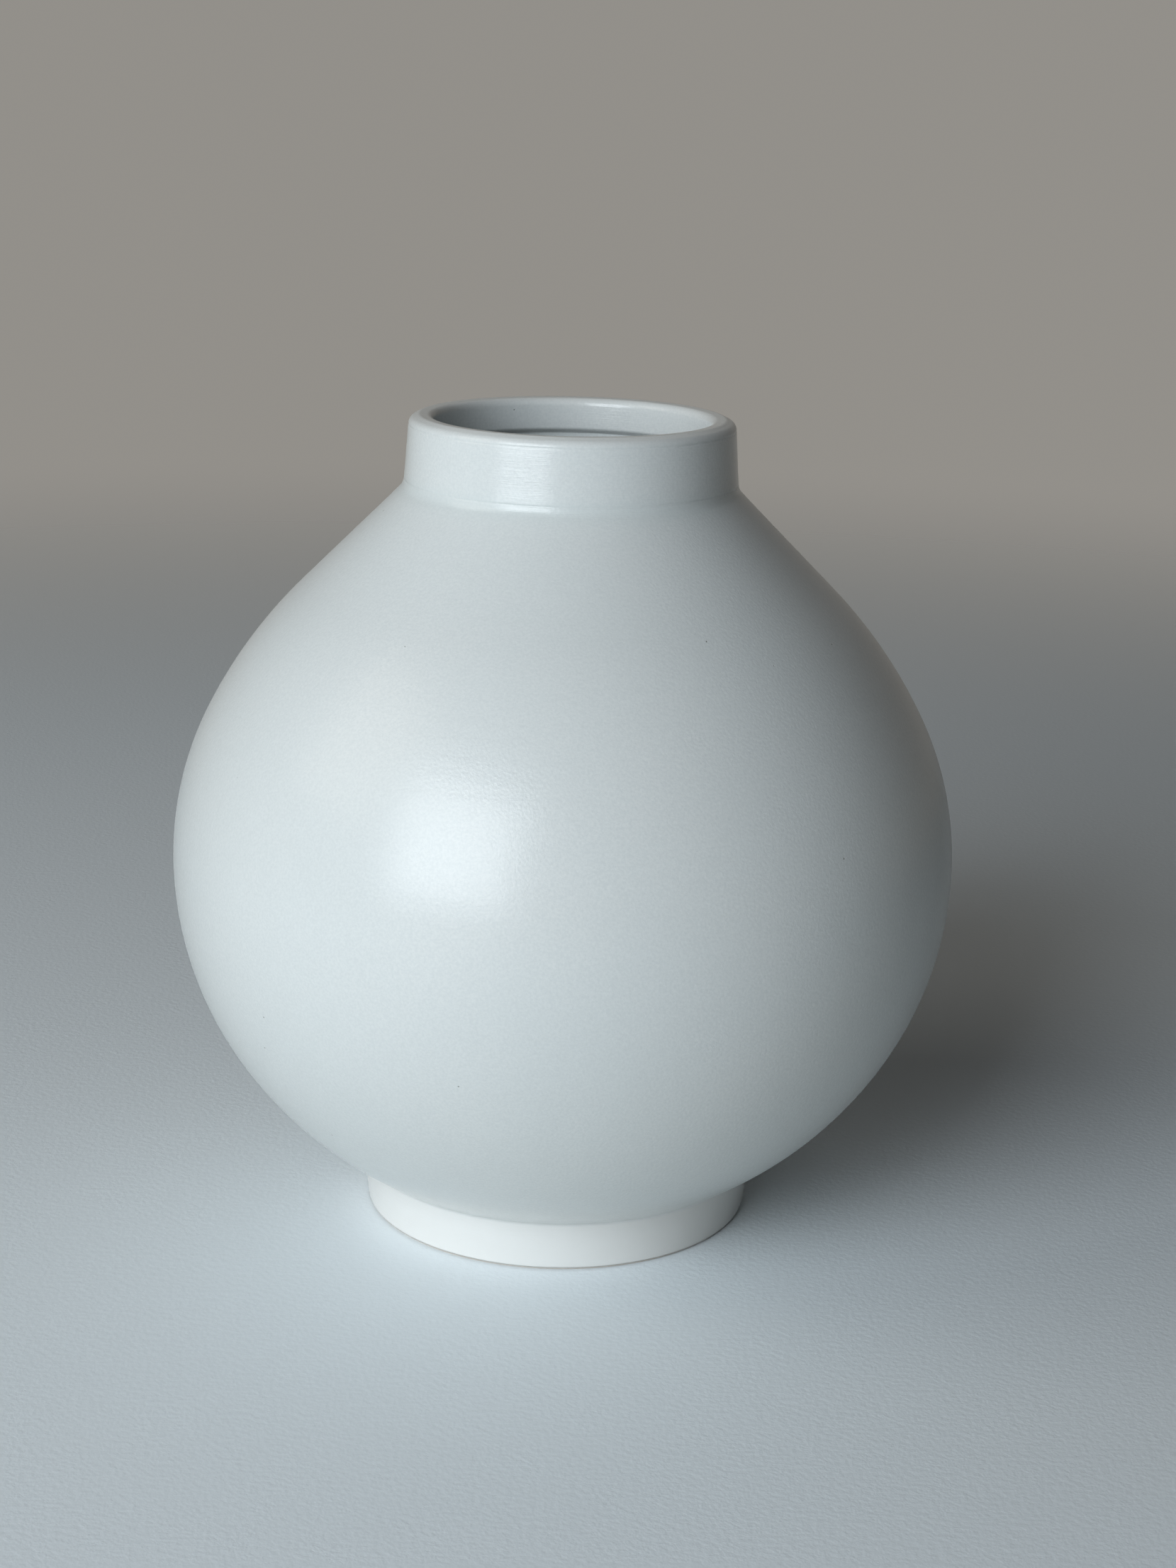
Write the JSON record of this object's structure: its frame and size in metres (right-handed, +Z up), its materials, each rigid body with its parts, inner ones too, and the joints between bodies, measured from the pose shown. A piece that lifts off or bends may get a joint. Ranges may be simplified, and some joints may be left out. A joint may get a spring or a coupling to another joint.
{
  "type": "moon jar",
  "caption": "Round white glazed jar with a short upright collar and a low foot ring, thrown as bowls joined rim to rim at the belly.",
  "frame": {"origin": "middle of the foot ring's underside, on the surface that the jar stands on", "axes": "+Z up along the jar's axis of rotation, from the foot to the mouth; X and Y are any two level directions"},
  "size_m": [0.19, 0.19, 0.1976],
  "materials": {
    "glazed_porcelain": "satin white glaze with a very fine stipple",
    "foot_clay": "bare fired clay, matte, slightly sandy",
    "fired_slip": "matte"
  },
  "bodies": {
    "root": {"lower_bowl": "glazed_porcelain", "upper_bowl": "glazed_porcelain", "neck_collar": "glazed_porcelain", "foot_ring": "foot_clay", "belly_seam_coil": "fired_slip", "belly_slip": "fired_slip", "neck_slip": "fired_slip", "foot_slip": "fired_slip"}
  },
  "joints": []
}
